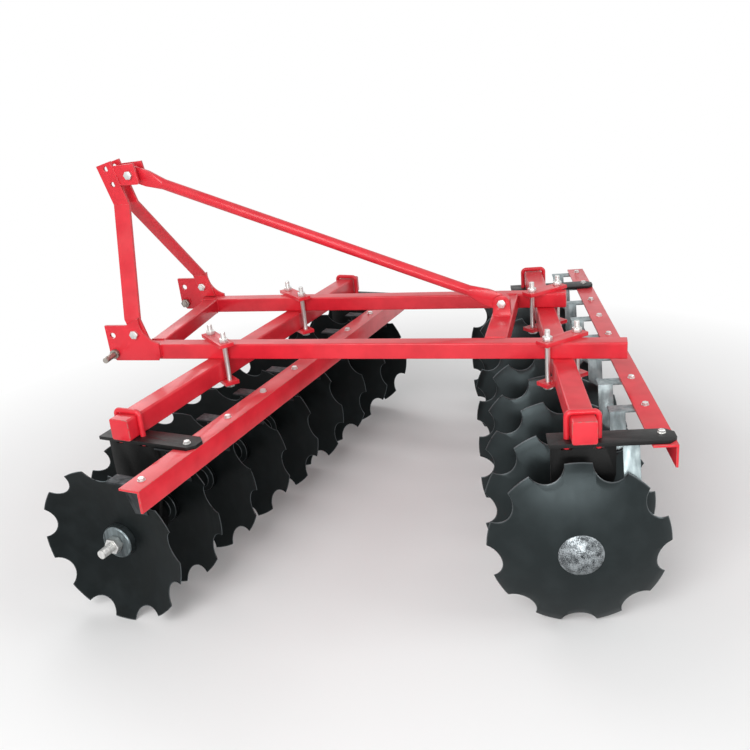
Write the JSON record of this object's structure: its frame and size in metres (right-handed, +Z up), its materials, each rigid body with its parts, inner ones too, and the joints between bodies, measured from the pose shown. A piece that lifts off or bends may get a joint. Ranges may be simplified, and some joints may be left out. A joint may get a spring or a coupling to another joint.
{
  "type": "mounted disc harrow",
  "caption": "Mounted offset disc harrow: red tube frame and mast carrying two slanted gangs of notched dished discs with scrapers.",
  "frame": {"origin": "on the ground under the middle of the harrow's overall box", "axes": "+X the direction of travel, +Y its left side, +Z up"},
  "size_m": [2.1411, 2.3735, 1.405],
  "materials": {
    "red_paint": "gloss enamel over welded steel",
    "disc_steel": "dark semi-gloss on pressed steel",
    "black_paint": "black paint on cast and cut steel",
    "zinc": "bright zinc plating",
    "cap_steel": "bare forged steel, lightly polished",
    "scraper_steel": "bare rolled steel"
  },
  "bodies": {
    "frame": {"left_long_tube": "red_paint", "right_long_tube": "red_paint", "front_cross_tube": "red_paint", "rear_cross_tube": "red_paint", "left_hitch_plate": "red_paint", "right_hitch_plate": "red_paint", "left_link_pin": "zinc", "right_link_pin": "zinc", "left_mast_bar": "red_paint", "right_mast_bar": "red_paint", "mast_head_plates": "red_paint", "mast_foot_bolts": "zinc", "brace_tube": "red_paint", "brace_bolts": "zinc", "front_gang_beam": "red_paint", "front_clamp_strips": "red_paint", "front_clamp_bolts": "zinc", "front_u_bolts": "red_paint", "front_hangers": "black_paint", "front_scraper_angle": "red_paint", "front_scrapers": "scraper_steel", "rear_gang_beam": "red_paint", "rear_clamp_strips": "red_paint", "rear_clamp_bolts": "zinc", "rear_u_bolts": "red_paint", "rear_hangers": "black_paint", "rear_scraper_angle": "red_paint", "rear_scrapers": "scraper_steel"},
    "front_gang": {"front_axle": "zinc", "front_discs": "disc_steel", "front_spools": "disc_steel", "front_end_washer": "black_paint", "front_axle_nut": "zinc", "front_end_cap": "cap_steel"},
    "rear_gang": {"rear_axle": "zinc", "rear_discs": "disc_steel", "rear_spools": "disc_steel", "rear_end_washer": "black_paint", "rear_axle_nut": "zinc", "rear_end_cap": "cap_steel"}
  },
  "joints": [
    {"name": "front_gang_spin", "type": "hinge", "parent": "frame", "child": "front_gang", "pos_m": [0.518, 0.02, 0.28], "axis": [0.1994, 0.9799, 0], "continuous": true},
    {"name": "rear_gang_spin", "type": "hinge", "parent": "frame", "child": "rear_gang", "pos_m": [-0.655, -0.024, 0.28], "axis": [-0.1478, 0.989, 0], "continuous": true}
  ]
}
